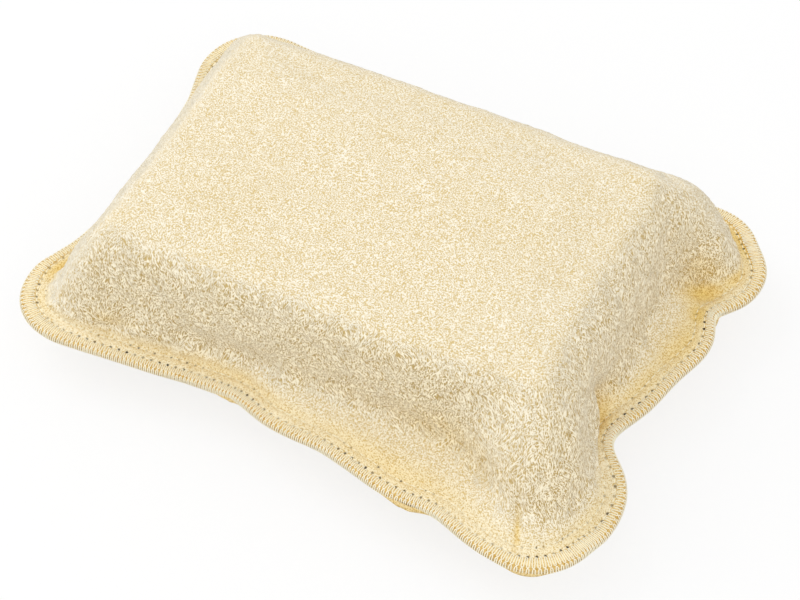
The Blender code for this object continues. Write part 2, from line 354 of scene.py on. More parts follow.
def ear_weight(places):
    """The nearest ear's fullness in that ear, easing to 0 along the sides."""
    nearest = np.where(places.along > 0.5, places.side, places.side - 1)
    reach = (np.abs(2 * places.along - 1) - EAR_BLEND_START) / (1 - EAR_BLEND_START)
    return np.where(places.in_ear, EAR_FULLNESS[places.side], EAR_FULLNESS[nearest] * smooth(reach))


def toward(places, start, end, fill):
    """Points of one loop drawn towards another in the ears only."""
    return start + (end - start) * (fill * ear_weight(places))[:, None]


def flare_out(block, needle, flare):
    """The block's outline spread outwards, but always a little inside the sewn line."""
    normals = loop_normals(block)
    room = dot(needle - block, normals) - SEAM_MARGIN
    return block + normals * np.minimum(flare, room)[:, None]


def ring(points, heights):
    """A flat loop lifted to one height, or to a height for each point."""
    return np.column_stack([points, np.broadcast_to(heights, len(points))])


def round_loop(values, width):
    """Values smoothed along a closed loop, over about this many columns."""
    reach = int(3 * width)
    weights = np.exp(-((np.arange(-reach, reach + 1) / width) ** 2) / 2)
    weights /= weights.sum()
    return sum(w * np.roll(values, k, axis=0) for w, k in zip(weights, range(-reach, reach + 1)))


def rim_rings(needle, normals, lifts, upward, fray):
    """The rolled rim of a panel, from its cut edge to its flat: upward is 1 above and -1 below."""
    rows = []
    for degrees in (90, 55, 25, 0):
        angle = math.radians(degrees)
        out = RIM_START + RIM_RADIUS * math.sin(angle)
        up = HALF_STACK - RIM_RADIUS * (1 - math.cos(angle))
        spread = (out + fray * math.sin(angle))[:, None]
        rows.append(ring(needle + normals * spread, SEAM_HEIGHT + lifts + upward * up))
    rows.append(ring(needle + normals * RIM_START / 2, SEAM_HEIGHT + lifts + upward * HALF_STACK))
    rows.append(ring(needle, SEAM_HEIGHT + lifts + upward * HALF_STACK))
    return rows


def shoulder_rings(places):
    """The rounded upper edge and crown of the block, up to the ridge line in the middle."""
    rows = []
    for degrees in (30, 60):
        angle = math.radians(degrees)
        inset = SHOULDER_SETBACK + SHOULDER_RADIUS * (1 - math.cos(angle))
        rows.append(ring(block_loop(places, inset), SHOULDER_HEIGHT + SHOULDER_RADIUS * math.sin(angle)))
    rows.append(ring(block_loop(places, SHOULDER_RADIUS + TOP_RUN), BLOCK_TOP))
    for share, height in ((0.5, 0.62), (1.0, 0.88)):
        inset = SHOULDER_RADIUS + TOP_RUN + share * (CROWN_RUN - TOP_RUN)
        rows.append(ring(block_loop(places, inset), BLOCK_TOP + height * CROWN_HEIGHT))
    rows.append(ring(block_loop(places, RIDGE_INSET), BLOCK_TOP + CROWN_HEIGHT))
    return rows


def upper_rings(places):
    needle, normals, lifts = needle_line(places)
    flange = SEAM_HEIGHT + HALF_STACK
    block = block_loop(places, 0.0)
    foot = toward(places, flare_out(block, needle, FOOT_FLARE), needle, EAR_FILL_FOOT)
    skirt = needle + (foot - needle) * SKIRT_REACH
    wall = toward(places, block, needle, EAR_FILL_WALL)
    shoulder = toward(places, block_loop(places, SHOULDER_SETBACK), needle, EAR_FILL_SHOULDER)
    return [
        *rim_rings(needle, normals, lifts, 1, np.zeros(len(needle))),
        ring(skirt, flange + SKIRT_RISE + lifts * LIFT_FADE),
        ring(foot, SEAM_HEIGHT + FOOT_RISE),
        ring(wall, (SEAM_HEIGHT + FOOT_RISE + SHOULDER_HEIGHT) / 2),
        ring(shoulder, SHOULDER_HEIGHT),
        *shoulder_rings(places),
    ]


def lower_rings(places):
    needle, normals, lifts = needle_line(places)
    block = block_loop(places, 0.0)
    belly = toward(places, flare_out(block, needle, BELLY_FLARE), needle, EAR_FILL_BELLY)
    hollow = needle + (belly - needle) * HOLLOW_REACH
    fray = sum(size * near_stitch(places.stitches, at, reach) for at, reach, size in FRAYS)
    fray = fray * (1 + FRAY_UNEVENNESS * loop_field(places.stitches, wavelength=1.3, seed=17))
    return [
        *rim_rings(needle, normals, lifts, -1, fray),
        ring(hollow, SEAM_HEIGHT - HOLLOW_DROP + lifts * LIFT_FADE),
        ring(belly, SEAM_HEIGHT - BELLY_DROP),
        ring(block_loop(places, HEEL_INSET), HEEL_HEIGHT),
        ring(block_loop(places, SOLE_INSET), 0.0),
        ring(block_loop(places, RIDGE_INSET), 0.0),
    ]


NEEDLE_RING = 5


class Skin:
    """A smooth skin over rings: rows of points from the rim inwards, with their normals."""

    def __init__(self, rings, bands, upward):
        rings = np.array([round_loop(r, SKIN_SMOOTHING) for r in rings])
        chords = np.linalg.norm(np.diff(rings, axis=0), axis=2).mean(axis=1)
        knots = np.concatenate([[0], np.cumsum(chords)])
        where = []
        self.strides = []
        at = 0.0
        for reach, step, stride in bands:
            while at < min(reach, knots[-1]):
                where.append(at)
                self.strides.append(stride)
                at += step
        where.append(knots[-1])
        self.strides.append(self.strides[-1])
        where = np.array(where)
        self.points = self.spline(rings, chords, knots, where)
        self.from_needle = where - knots[NEEDLE_RING]
        self.upward = upward
        self.make_inside()

    def make_inside(self):
        """The lining and the foam's surface, at fixed depths under the skin as it is now."""
        normals = self.normals()
        self.lining = self.points - COVER_THICKNESS * normals
        self.foam = self.points - (COVER_THICKNESS + GAP) * normals
        self.inner_rows = [len(self.strides) - 1]
        while self.inner_rows[-1] > 0:
            near = self.from_needle[self.inner_rows[-1]] - LINING_STEP
            row = int(np.searchsorted(self.from_needle, near))
            self.inner_rows.append(min(row, self.inner_rows[-1] - 1))

    @staticmethod
    def spline(rings, chords, knots, where):
        """Points at these distances along curves through the rings."""
        gaps = chords[:, None, None]
        slopes = np.diff(rings, axis=0) / gaps
        tangents = np.concatenate([slopes[:1], slopes[:1], slopes[1:]])
        tangents[1:-1] = (slopes[:-1] * gaps[1:] + slopes[1:] * gaps[:-1]) / (gaps[1:] + gaps[:-1])
        part = np.clip(np.searchsorted(knots, where, side="right") - 1, 0, len(chords) - 1)
        t = ((where - knots[part]) / chords[part])[:, None, None]
        gap = chords[part][:, None, None]
        start = rings[part]
        end = rings[part + 1]
        ease = t * t * (3 - 2 * t)
        leave = t * (1 - t) ** 2 * gap * tangents[part]
        arrive = t * t * (1 - t) * gap * tangents[part + 1]
        return start + (end - start) * ease + leave - arrive

    def normals(self):
        along = np.roll(self.points, -1, axis=1) - np.roll(self.points, 1, axis=1)
        across = np.gradient(self.points, axis=0)
        normals = np.cross(along, across) * self.upward
        normals[-1] = normals[-2]
        return normals / np.maximum(np.linalg.norm(normals, axis=2), 1e-9)[:, :, None]

    def raise_by(self, heights):
        self.points = self.points + self.normals() * heights[:, :, None]


def soft_field(points, wavelength, seed, waves=48):
    """A smooth random field over the points, mostly within -2 to 2, with bumps of this wavelength."""
    random = np.random.default_rng(seed)
    directions = random.normal(size=(waves, 3))
    directions /= np.linalg.norm(directions, axis=1)[:, None]
    lengths = wavelength * random.uniform(0.7, 1.5, waves)
    phases = random.uniform(0, 2 * math.pi, waves)
    turns = points @ (directions * (2 * math.pi / lengths)[:, None]).T + phases
    return np.cos(turns).sum(axis=-1) * math.sqrt(2 / waves)


def loop_field(stitches, wavelength, seed, waves=12):
    """A smooth random value round the loop, mostly within -2 to 2, with bumps this many stitches apart."""
    random = np.random.default_rng(seed)
    base = STITCH_COUNT / wavelength
    turns = np.round(base * random.uniform(0.6, 1.5, waves))
    phases = random.uniform(0, 2 * math.pi, waves)
    angles = stitches[:, None] / STITCH_COUNT * 2 * math.pi * turns + phases
    return np.cos(angles).sum(axis=-1) * math.sqrt(2 / waves)


def window(values, start, end, soft):
    """1 between start and end, easing to 0 over the soft distance outside them."""
    return smooth((values - start) / soft + 1) * smooth((end - values) / soft + 1)


STITCHES = np.arange(STITCH_COUNT * COLUMNS_PER_STITCH) / COLUMNS_PER_STITCH
PLACES = Places(STITCHES)
OUTER_HOLES = round_loop(np.where(PLACES.in_ear, EAR_HOLES, SIDE_HOLES), HOLE_SMOOTHING)


def stitch_relief(skin):
    """The groove of each row of holes, a pit at each hole, and the crook inside the sewn line."""
    from_outer = skin.from_needle[:, None] - OUTER_HOLES[None, :]
    beside = (((STITCHES + 0.5) % 1) - 0.5)[None, :] * STITCH_PITCH
    heights = 0
    for place, groove_depth, groove_reach, pit_depth, pit_reach in HOLE_ROWS:
        d = from_outer - place
        heights = heights - groove_depth * np.exp(-((d / groove_reach) ** 2))
        heights = heights - pit_depth * np.exp(-(d ** 2 + beside ** 2) / pit_reach ** 2)
    past_crook = (skin.from_needle[:, None] - CROOK_PLACE) / CROOK_REACH
    return heights - CROOK_DEPTH * np.exp(-past_crook ** 2)


def fold_relief(skin, strength):
    """Small gathers that run in from the seam, deeper in the ears, and broad uneven stuffing."""
    d = skin.from_needle[:, None]
    ear = round_loop(ear_weight(PLACES), width=6)[None, :]
    gathers = loop_field(STITCHES, wavelength=4.0, seed=11)[None, :] * window(d, 1.0, 5.0, soft=4.0)
    ear_folds = loop_field(STITCHES, wavelength=3.2, seed=12)[None, :] * window(d, 2.5, 9.0, soft=7.0)
    broad = soft_field(skin.points, wavelength=26.0, seed=13)
    medium = soft_field(skin.points, wavelength=9.0, seed=14) * window(d, 3.0, PAST_MIDDLE, soft=3.0)
    return strength * (GATHER_HEIGHT * gathers + EAR_FOLD_HEIGHT * ear * ear_folds
                       + BROAD_HEIGHT * broad * window(d, 6.0, PAST_MIDDLE, soft=6.0)
                       + MEDIUM_HEIGHT * medium)


def named_spot(d, at, reach, inward, spread):
    """1 at one stitch and distance in, fading to all sides."""
    return near_stitch(STITCHES, at, reach)[None, :] * np.exp(-(((d - inward) / spread) ** 2))


def named_relief(skin):
    """The swells and valleys that the photograph shows."""
    d = skin.from_needle[:, None]
    heights = np.zeros(skin.points.shape[:2])
    for at, reach, inward, spread, height in SWELLS:
        heights += height * named_spot(d, at, reach, inward, spread)
    for at, slant, half_width, depth, length in VALLEYS:
        beside = near_stitch(STITCHES[None, :] - slant * d, at, half_width)
        heights -= depth * beside * smooth((d + 3.0) / 5.0) * smooth(2.2 - 2 * d / length)
    return heights


def nap_relief(skin):
    """Tufts of the nap, fine enough to roughen the outline."""
    amount = window(skin.from_needle[:, None], 0.5, PAST_MIDDLE, soft=1.0)
    steep = 1 - smooth((np.abs(skin.normals()[:, :, 2]) - 0.5) / 0.4)
    fine = soft_field(skin.points, wavelength=1.4, seed=15, waves=64)
    fine = (NAP_HEIGHT + NAP_HEIGHT_ADDED_ON_WALLS * steep) * fine
    return amount * (fine + TUFT_HEIGHT * soft_field(skin.points, wavelength=3.2, seed=16))


def fold_shade_and_stain_mask(skin):
    """How much each place lies in a fold, where painted shade and bounced light deepen the yellow, or in
    the stain on the left ear.
    """
    d = skin.from_needle[:, None]
    mask = np.zeros(skin.points.shape[:2])
    for at, reach, inward, spread, strength in FOLD_SHADE_AND_STAIN_SPOTS:
        mask = np.maximum(mask, strength * named_spot(d, at, reach, inward, spread))
    return mask


def skin_mesh(name, skin):
    """A closed panel: the lining from its middle out to the rim, and then the outer skin."""
    count = len(STITCHES)
    lining_rows = skin.inner_rows
    rows = [skin.lining[r] for r in lining_rows] + list(skin.points)
    strides = [4] * (len(lining_rows) - 2) + [2, 1] + list(skin.strides)
    edge = [skin.from_needle[r] for r in lining_rows] + list(skin.from_needle)
    # The seam record: painted shade in folds with one stain, how much the holes gape, and where the outer
    # row of holes lies
    fold_shade_and_stain = np.concatenate([np.zeros((len(lining_rows), count)), fold_shade_and_stain_mask(skin)])
    gaping = np.max([share * near_stitch(STITCHES, at, reach) for at, reach, share in GAPING], axis=0)
    seam = np.stack([fold_shade_and_stain, *np.broadcast_arrays(gaping, OUTER_HOLES, fold_shade_and_stain)[:2]], axis=2)
    starts = np.concatenate([[0], np.cumsum([count // s for s in strides])])
    points = np.concatenate([row[::s] for row, s in zip(rows, strides)])
    faces = []
    for r in range(len(rows) - 1):
        faces += bridge(starts[r], count // strides[r], starts[r + 1], count // strides[r + 1])
    faces += [face[::-1] for face in zip_across(starts[0], count // strides[0])]
    faces += zip_across(starts[-2], count // strides[-1])
    if skin.upward < 0:
        faces = [face[::-1] for face in faces]
    mesh = new_mesh(name, points, faces)
    stitch = np.concatenate([STITCHES[::s] for s in strides])
    inward = np.concatenate([np.full(count // s, e) for e, s in zip(edge, strides)])
    add_stitch_map(mesh, stitch, inward)
    record = np.concatenate([row[::s] for row, s in zip(seam, strides)])
    attribute = mesh.attributes.new("seam", "FLOAT_VECTOR", "POINT")
    attribute.data.foreach_set("vector", record.astype(np.float32).ravel())
    return new_object(name, mesh)


def foam_mesh(name, upper, lower):
    """The foam under both panels: closed, and a little clear of the linings."""
    top, under = [[skin.foam[r][::COLUMNS_PER_STITCH] for r in skin.inner_rows
                   if skin.from_needle[r] > FOAM_START] for skin in (upper, lower)]
    rows = top + under[::-1]
    faces = [face[::-1] for face in zip_across(0, STITCH_COUNT)]
    for r in range(len(rows) - 1):
        faces += bridge(r * STITCH_COUNT, STITCH_COUNT, (r + 1) * STITCH_COUNT, STITCH_COUNT)
    faces += zip_across((len(rows) - 1) * STITCH_COUNT, STITCH_COUNT)
    faces = [face[::-1] for face in faces]
    return new_object(name, new_mesh(name, np.concatenate(rows), faces))


def bridge(start, count, next_start, next_count):
    """Faces between two closed rows, where one row may have twice the other's vertices."""
    a = np.arange(min(count, next_count))
    step = count // len(a)
    next_step = next_count // len(a)
    near = [start + (step * a + k) % count for k in range(step + 1)]
    far = [next_start + (next_step * a + k) % next_count for k in range(next_step, -1, -1)]
    return np.stack(near + far, axis=1).tolist()


def zip_across(start, count):
    """Faces across a row that is folded to a thin line with one vertex for each stitch."""
    pair_sum = STITCHES_PER_SPAN * int(SPAN_STARTS[4] + SPAN_COUNTS[0])
    i = np.arange((pair_sum - count) // 2 + 1, pair_sum // 2)
    quads = np.stack([i, i + 1, pair_sum - i - 1, pair_sum - i], axis=1) % count
    return (start + quads).tolist()


def add_stitch_map(mesh, stitch, inward):
    """A UV map that counts stitches along the seam and millimetres in from it."""
    corners = np.empty(len(mesh.loops), int)
    mesh.loops.foreach_get("vertex_index", corners)
    sizes = np.empty(len(mesh.polygons), int)
    mesh.polygons.foreach_get("loop_total", sizes)
    face = np.repeat(np.arange(len(sizes)), sizes)
    u = stitch[corners]
    highest = np.zeros(len(sizes))
    np.maximum.at(highest, face, u)
    wraps = highest[face] - u > STITCH_COUNT / 2
    u = u + np.where(wraps, STITCH_COUNT, 0)
    layer = mesh.uv_layers.new(name="stitch")
    layer.uv.foreach_set("vector", np.stack([u, inward[corners]], axis=1).astype(np.float32).ravel())


def new_mesh(name, points, faces):
    """A smooth mesh from points in millimetres."""
    mesh = bpy.data.meshes.new(name)
    mesh.from_pydata((points * MM).tolist(), [], faces)
    mesh.update()
    mesh.shade_smooth()
    return mesh


def new_object(name, data):
    made = bpy.data.objects.new(name, data)
    bpy.context.scene.collection.objects.link(made)
    return made


class Flange:
    """The needle line at any stitch, and the wrap round the rim as a distance out from it."""

    def __init__(self):
        needle, normals, lifts = needle_line(PLACES)
        table = np.column_stack([needle, normals, lifts])
        self.table = round_loop(table, SKIN_SMOOTHING)

    def at(self, stitches):
        columns = [np.interp(stitches, STITCHES, c, period=STITCH_COUNT) for c in self.table.T]
        return np.stack(columns[:2], axis=1), np.stack(columns[2:4], axis=1), columns[4]

    def wrap(self, stitches, reach, proud):
        """Points and surface normals at these distances round the wrap, from the top needle line."""
        needle, normals, lifts = self.at(stitches)
        angle = np.clip((reach - RIM_START) / WRAP_RADIUS, 0, math.pi)
        past = np.maximum(reach - RIM_START - math.pi * WRAP_RADIUS, 0)
        out = np.minimum(reach, RIM_START) + (WRAP_RADIUS + proud) * np.sin(angle) - past
        up = (WRAP_RADIUS + proud) * np.cos(angle)
        points = np.column_stack([needle + normals * out[:, None], SEAM_HEIGHT + lifts + up])
        facing = np.column_stack([normals * np.sin(angle)[:, None], np.cos(angle)])
        return points, facing


WRAP_LENGTH = 2 * RIM_START + math.pi * WRAP_RADIUS
CLOSING_LENGTH = 0.3


def tube(name, points, facing, half_width, half_height, sides):
    """A closed loop of flattened thread along the points, its flat side to the surface."""
    run = loop_runs(points)
    across = unit_rows(np.cross(run, facing))
    up = np.cross(across, run)
    angles = np.arange(sides) * 2 * math.pi / sides
    ring_points = (points[:, None] + across[:, None] * (half_width * np.cos(angles))[None, :, None]
                   + up[:, None] * (half_height * np.sin(angles))[None, :, None])
    count = len(points)
    j = np.repeat(np.arange(count), sides)
    k = np.tile(np.arange(sides), count)
    ahead = (j + 1) % count
    turn = (k + 1) % sides
    faces = np.stack([j * sides + k, ahead * sides + k, ahead * sides + turn, j * sides + turn], axis=1)
    mesh = new_mesh(name, ring_points.reshape(-1, 3), faces.tolist())
    lengths = np.concatenate([[0], np.cumsum(np.linalg.norm(np.diff(points, axis=0), axis=1))])
    layer = mesh.uv_layers.new(name="twist")
    after = np.append(lengths, lengths[-1] + CLOSING_LENGTH)[j + 1]
    u = np.stack([lengths[j], after, after, lengths[j]], axis=1)
    v = np.stack([k, k, k + 1, k + 1], axis=1) / sides
    layer.uv.foreach_set("vector", np.stack([u, v], axis=2).astype(np.float32).ravel())
    return new_object(name, mesh)


def wander(stitches, seed, amount):
    """Uneven sewing: a small random shift, different at each stitch."""
    random = np.random.default_rng(seed)
    table = random.normal(size=STITCH_COUNT) * amount
    return np.interp(stitches, np.arange(STITCH_COUNT), table, period=STITCH_COUNT)


def looper(name, flange, start, end, phase, samples, seed):
    """A looper thread: across the edge and back twice in each stitch, with rounded turns.

    It runs between two distances round the wrap, each a number or a value for each column.
    """
    loops = STITCH_COUNT * LOOPS_PER_STITCH
    t = np.arange(samples) / samples
    along = np.interp(t, LOOP_SHARES, LOOP_ALONG)
    level = np.interp(t, LOOP_SHARES, LOOP_ACROSS)
    for rounding, turn in ((LOOP_ROUNDING, LOOP_SHARES[1]), (-LOOP_ROUNDING, LOOP_SHARES[3])):
        level = level + rounding * np.sin(math.pi * np.clip((t - turn) / LOOP_TURN, 0, 1))
    stitches = (np.arange(loops)[:, None] + along[None, :] + phase).ravel() / LOOPS_PER_STITCH
    levels = np.tile(level, loops)
    ends = [np.interp(stitches, STITCHES, np.broadcast_to(e, len(STITCHES)), period=STITCH_COUNT)
            for e in (start, end)]
    reach = (ends[0] + ends[1]) / 2 + (ends[1] - ends[0]) / 2 * levels + wander(stitches, seed, 0.10)
    shifted = (stitches + wander(stitches, seed + 1, 0.05)) % STITCH_COUNT
    points, facing = flange.wrap(shifted, reach, LOOPER_STANDS - LOOPER_TUCK * np.abs(levels) ** 6)
    return tube(name, points, facing, LOOPER_HALF_WIDTH, LOOPER_HALF_HEIGHT, sides=5)


def needle_thread(name, skin, inward, seed):
    """A needle thread: arched from hole to hole along the skin, and sunk at each hole."""
    target = OUTER_HOLES + inward
    row = np.searchsorted(skin.from_needle, target)
    share = (target - skin.from_needle[row - 1]) / (skin.from_needle[row] - skin.from_needle[row - 1])
    skin_normals = skin.normals()
    column = np.arange(len(STITCHES))
    both = [(1 - share)[:, None] * values[row - 1, column] + share[:, None] * values[row, column]
            for values in (skin.points, skin_normals)]
    stitches = np.arange(STITCH_COUNT * NEEDLE_SAMPLES) / NEEDLE_SAMPLES
    base = np.stack([np.interp(stitches, STITCHES, c, period=STITCH_COUNT)
                     for c in np.hstack(both).T], axis=1)
    arch = NEEDLE_ARCH * np.abs(np.sin(math.pi * stitches)) ** 0.6 - NEEDLE_SINK
    points = base[:, :3] + base[:, 3:] * (arch + wander(stitches, seed, 0.03))[:, None]
    return tube(name, points, base[:, 3:], NEEDLE_HALF_WIDTH, NEEDLE_HALF_HEIGHT, sides=6)


def add_node(tree, kind, inputs=None, **settings):
    """A new shader node with these settings, and these values or links on its inputs."""
    made = tree.nodes.new("ShaderNode" + kind)
    for name, value in settings.items():
        setattr(made, name, value)
    for key, value in (inputs or {}).items():
        if isinstance(value, bpy.types.NodeSocket):
            tree.links.new(value, made.inputs[key])
        else:
            made.inputs[key].default_value = value
    return made


def maths(tree, operation, *values, clamp=False):
    inputs = dict(enumerate(values))
    return add_node(tree, "Math", inputs, operation=operation, use_clamp=clamp).outputs[0]


def product(tree, first, second):
    return maths(tree, "MULTIPLY", first, second)


def one_minus(tree, value):
    return maths(tree, "SUBTRACT", 1.0, value)


def vector_maths(tree, operation, inputs, output="Vector"):
    return add_node(tree, "VectorMath", inputs, operation=operation).outputs[output]


def axes(tree, vector):
    """The X, Y and Z of a vector."""
    return add_node(tree, "SeparateXYZ", {0: vector}).outputs


def step_up(tree, value, start, end):
    """0 up to start, 1 from end, and smooth between."""
    made = add_node(tree, "MapRange", {"Value": value, "From Min": start, "From Max": end},
                    interpolation_type="SMOOTHSTEP")
    return made.outputs["Result"]


def mix_colour(tree, share, first, second, blend="MIX"):
    inputs = {0: share, 6: first, 7: second}
    return add_node(tree, "Mix", inputs, data_type="RGBA", blend_type=blend).outputs[2]


def new_material(name, roughness, sheen=0.0, sheen_roughness=0.5):
    """A material with this finish, with its tree and its shader."""
    made = bpy.data.materials.new(name)
    made.use_nodes = True
    shader = made.node_tree.nodes["Principled BSDF"]
    shader.inputs["Roughness"].default_value = roughness
    shader.inputs["Specular IOR Level"].default_value = 0.2
    shader.inputs["Sheen Weight"].default_value = sheen
    shader.inputs["Sheen Roughness"].default_value = sheen_roughness
    return made, made.node_tree, shader


def link_looks(tree, shader, colour, height, strength, depth):
    """Give a shader its colour, and a bump of this strength and depth in millimetres."""
    tree.links.new(colour, shader.inputs["Base Color"])
    inputs = {"Strength": strength, "Distance": depth * MM, "Height": height}
    bump = add_node(tree, "Bump", inputs)
    tree.links.new(bump.outputs[0], shader.inputs["Normal"])


def noise(tree, vector, scale, detail=2.0, **inputs):
    """The outputs of a noise texture."""
    inputs = {"Vector": vector, "Scale": scale, "Detail": detail, **inputs}
    return add_node(tree, "TexNoise", inputs).outputs


def in_millimetres(tree):
    coords = add_node(tree, "TexCoord").outputs["Object"]
    return vector_maths(tree, "SCALE", {0: coords, "Scale": 1 / MM})


def blended(tree, share, first, second):
    """A number that goes from the first at share 0 to the second at share 1."""
    made = add_node(tree, "MapRange", {"Value": share, "To Min": first, "To Max": second})
    return made.outputs["Result"]


def strokes(tree, vector, along):
    """Fibres drawn out along this direction."""
    run = Vector(along).normalized()
    turn = (0.0, -math.asin(run.z), math.atan2(run.y, run.x))
    inputs = {"Vector": vector, "Rotation": turn, "Scale": (FIBRE_STRETCH, 1, 1)}
    turned = add_node(tree, "Mapping", inputs, vector_type="TEXTURE").outputs[0]
    return noise(tree, turned, FIBRE_SCALE, detail=0.0)["Fac"]


def fibre_height(tree, vector, facing, steep):
    """Short crossing fibres in patches, long on the walls and finer on level cloth, and their share."""
    bend = noise(tree, vector, BEND_SCALE, detail=1.0)["Color"]
    offset = vector_maths(tree, "SCALE", {0: bend, "Scale": FIBRE_BEND})
    bent = vector_maths(tree, "ADD", {0: vector, 1: offset})
    patch = step_up(tree, noise(tree, vector, PATCH_SCALE, detail=1.0)["Fac"], 0.42, 0.58)
    walls = []
    for first, second, third in (FRONT_FIBRES, END_FIBRES):
        main = blended(tree, patch, strokes(tree, bent, first), strokes(tree, bent, second))
        under = product(tree, strokes(tree, bent, third), THIRD_WAY_HEIGHT)
        walls.append(maths(tree, "MAXIMUM", main, under))
    sides = axes(tree, vector_maths(tree, "ABSOLUTE", {0: facing}))
    at_end = step_up(tree, maths(tree, "SUBTRACT", sides["X"], sides["Y"]), -0.15, 0.15)
    crossed = blended(tree, at_end, *walls)
    grain = noise(tree, vector, GRAIN_SCALE, detail=1.0, Roughness=0.6)["Fac"]
    share = maths(tree, "MAXIMUM", steep, LEVEL_FIBRE_SHARE)
    height = maths(tree, "ADD", product(tree, grain, one_minus(tree, share)),
                   product(tree, crossed, share))
    return height, share


def hole_mask(tree, beside, past_row, number, radius, least, seed):
    """Needle holes with painted shade: 1 in the middle of each, weaker at stitches that the thread fills.
    """
    squares = maths(tree, "ADD", product(tree, beside, beside), product(tree, past_row, past_row))
    distance = maths(tree, "SQRT", squares)
    spot = one_minus(tree, step_up(tree, distance, 0.5 * radius, radius))
    random = add_node(tree, "TexWhiteNoise", {"W": maths(tree, "ADD", number, seed)},
                      noise_dimensions="1D").outputs["Value"]
    return product(tree, spot, step_up(tree, random, least, 1.0))


def needle_holes(tree, stitch, past_outer, gape):
    """Both rows of needle holes, deeper where the seam gapes and the inner row only there."""
    u = maths(tree, "ADD", stitch, 0.5)
    number = maths(tree, "FLOOR", u)
    beside = product(tree, maths(tree, "SUBTRACT", maths(tree, "FRACT", u), 0.5), STITCH_PITCH)
    past_inner = maths(tree, "SUBTRACT", past_outer, ROWS_APART)
    outer = hole_mask(tree, beside, past_outer, number, radius=0.42, least=-0.6, seed=3.5)
    inner = hole_mask(tree, beside, past_inner, number, radius=0.34, least=0.0, seed=77.5)
    outer = product(tree, outer, maths(tree, "ADD", OUTER_HOLE_DEPTH, gape, clamp=True))
    inner = product(tree, inner, product(tree, INNER_HOLE_DEPTH, gape))
    return maths(tree, "MAXIMUM", outer, inner)


# Fibres on the walls and, in a smaller share, on level cloth, with a finer grain between them
FIBRE_SCALE = 5.0
FIBRE_STRETCH = 8.0
FIBRE_BEND = 2.4
BEND_SCALE = 0.16
PATCH_SCALE = 0.22
THIRD_WAY_HEIGHT = 0.96
LEVEL_FIBRE_SHARE = 0.28
GRAIN_SCALE = 2.9
# Three ways in which the fibres run on the front and back walls and on the end walls
FRONT_FIBRES = ((0.866, -0.215, -0.45), (-0.423, -0.39, -0.816), (0.342, -0.404, -0.846))
END_FIBRES = ((0.415, 0.259, -0.869), (0.415, -0.259, -0.869), (0.247, -0.819, -0.516))
# The way towards the lit side: faces turned from it get painted shade, with deeper-coloured roots and a
# darker tint
LIT_SIDE_WAY = (-0.62, 0.35, 0.70)
# The way of the left end, which faces the key light: faces turned this way get a painted sheen that pales
# them
PAINTED_SHEEN_WAY = (-0.88, -0.12, 0.46)
PAINTED_SHEEN_SHARE = 0.3
PAINTED_SHEEN_LEVEL = 0.85

# Fibre heights where the roots' colour ends and the tips' colour is full, each with how much higher
# it is where the long fibres cross, and how much the sewing lifts the fibres
ROOTS_UP_TO = (0.430, 0.066)
TIPS_FROM = (0.582, 0.004)
SEWN_LIFT = 0.04

# Needle holes, painted dark as the shade in them: the outer row shows this much also where the seam
# doesn't gape, the inner row this much where it does
OUTER_HOLE_DEPTH = 0.25
INNER_HOLE_DEPTH = 0.8
HOLE_SHADE_COLOUR = (0.03, 0.015, 0.004)
HOLE_RELIEF = 0.8

# Tints put over the chamois one by one, each with its strength: painted shade on faces turned from the lit
# side, clouds of tone, the sewn flange, painted shade and bounced light in folds with one stain, painted
# shade under the looper threads, and painted shade on the rolled rim
TINTS = (
    ("side_shade", 1.0, (1.0, 0.96, 0.86)),
    ("clouds", 0.35, (0.95, 0.92, 0.84)),
    ("sewn", 0.8, (1.0, 0.96, 0.83)),
    ("fold_shade_and_stain", 1.0, (0.94, 0.78, 0.38)),
    ("shade_under_threads", 0.8, (0.93, 0.81, 0.53)),
    ("rim", 0.85, (0.78, 0.63, 0.33)),
)
# How much the painted shade on the rolled rim fades out at the panel's cut edge
CUT_EDGE_FADE = 0.75


